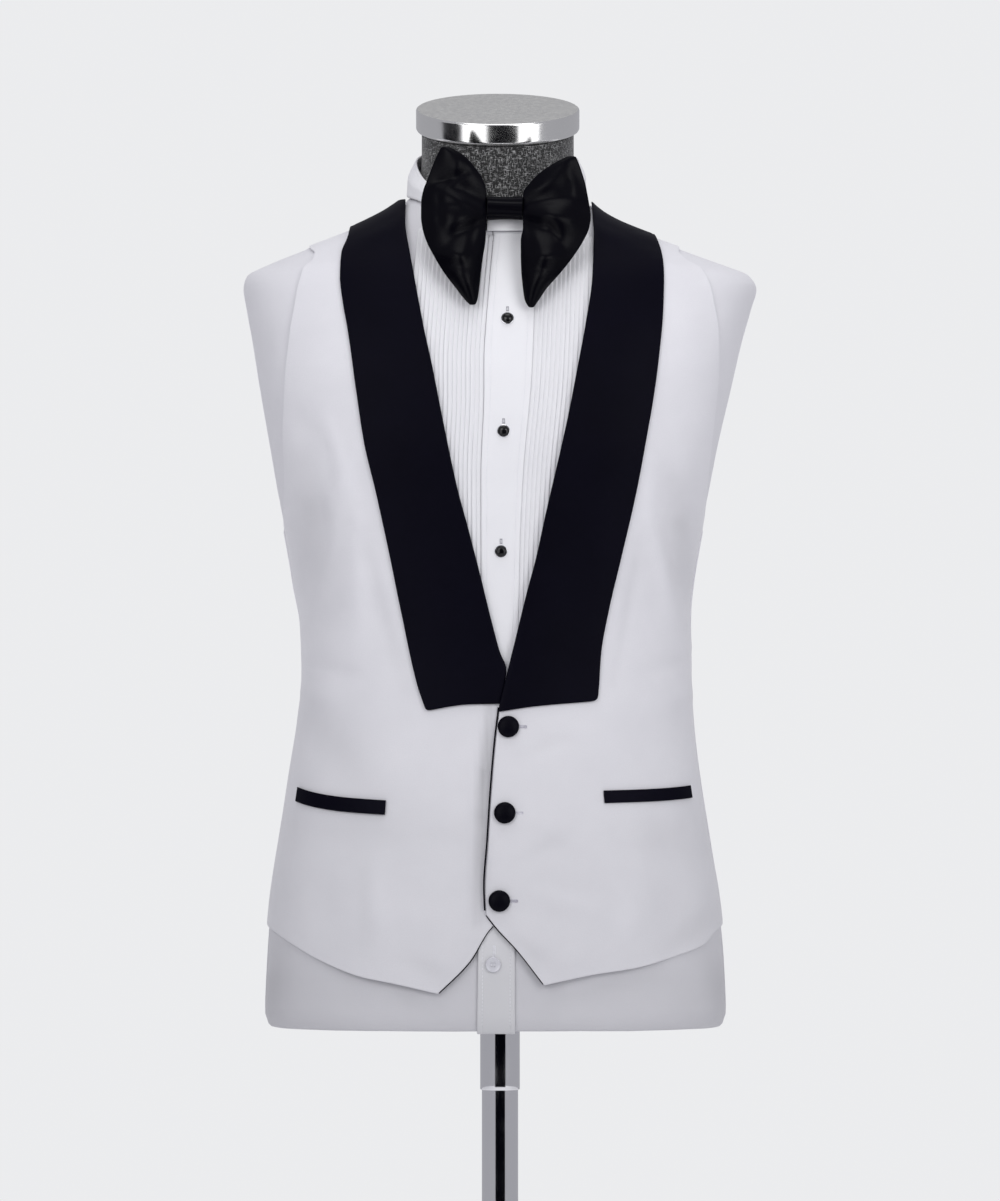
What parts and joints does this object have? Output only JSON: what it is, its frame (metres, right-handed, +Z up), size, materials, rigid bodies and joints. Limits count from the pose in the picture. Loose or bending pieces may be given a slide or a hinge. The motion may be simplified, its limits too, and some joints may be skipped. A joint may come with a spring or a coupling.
{
  "type": "tuxedo waistcoat, shirt and bow tie on a dress form with stand",
  "caption": "Tuxedo waistcoat with satin shawl lapels over a pleated standing-collar shirt with a large bow tie, on a limbless dress form with a pole stand.",
  "frame": {"origin": "on the floor, in the middle of the round base under the pole", "axes": "+Z up along the pole, -Y towards the front of the clothes, +X towards the wearer's left"},
  "size_m": [0.454, 0.36, 1.6103],
  "materials": {
    "waistcoat_cloth": "matte",
    "shirt_cloth": "matte",
    "black_satin": "satin",
    "form_tweed": "matte",
    "stand_chrome": "polished",
    "stud_black": "gloss",
    "button_clear": "gloss"
  },
  "bodies": {
    "stand": {"stand_base": "stand_chrome"},
    "pole": {"lower_pole": "stand_chrome"},
    "dressed_form": {"upper_tube": "stand_chrome", "form_torso": "form_tweed", "neck_cap": "stand_chrome", "shirt_front_left": "shirt_cloth", "shirt_front_right": "shirt_cloth", "shirt_back": "shirt_cloth", "shirt_placket": "shirt_cloth", "bib_left": "shirt_cloth", "bib_right": "shirt_cloth", "shirt_collar": "shirt_cloth", "waistcoat_front_left": "waistcoat_cloth", "waistcoat_front_right": "waistcoat_cloth", "waistcoat_back": "waistcoat_cloth", "lapel_left": "black_satin", "lapel_right": "black_satin", "welt_left": "black_satin", "welt_right": "black_satin", "front_edge_piping": "black_satin", "waistcoat_button_1": "black_satin", "waistcoat_button_2": "black_satin", "waistcoat_button_3": "black_satin", "stud_1": "stud_black", "stud_2": "stud_black", "stud_3": "stud_black", "shirt_button": "button_clear", "bow_wing_left": "black_satin", "bow_wing_right": "black_satin", "bow_knot": "black_satin"}
  },
  "joints": [
    {"name": "swivel", "type": "hinge", "parent": "stand", "child": "pole", "pos_m": [0, 0, 0.03], "axis": [0, 0, 1], "continuous": true},
    {"name": "height", "type": "slide", "parent": "pole", "child": "dressed_form", "axis": [0, 0, 1], "range_m": [-0.2, 0.2]}
  ]
}
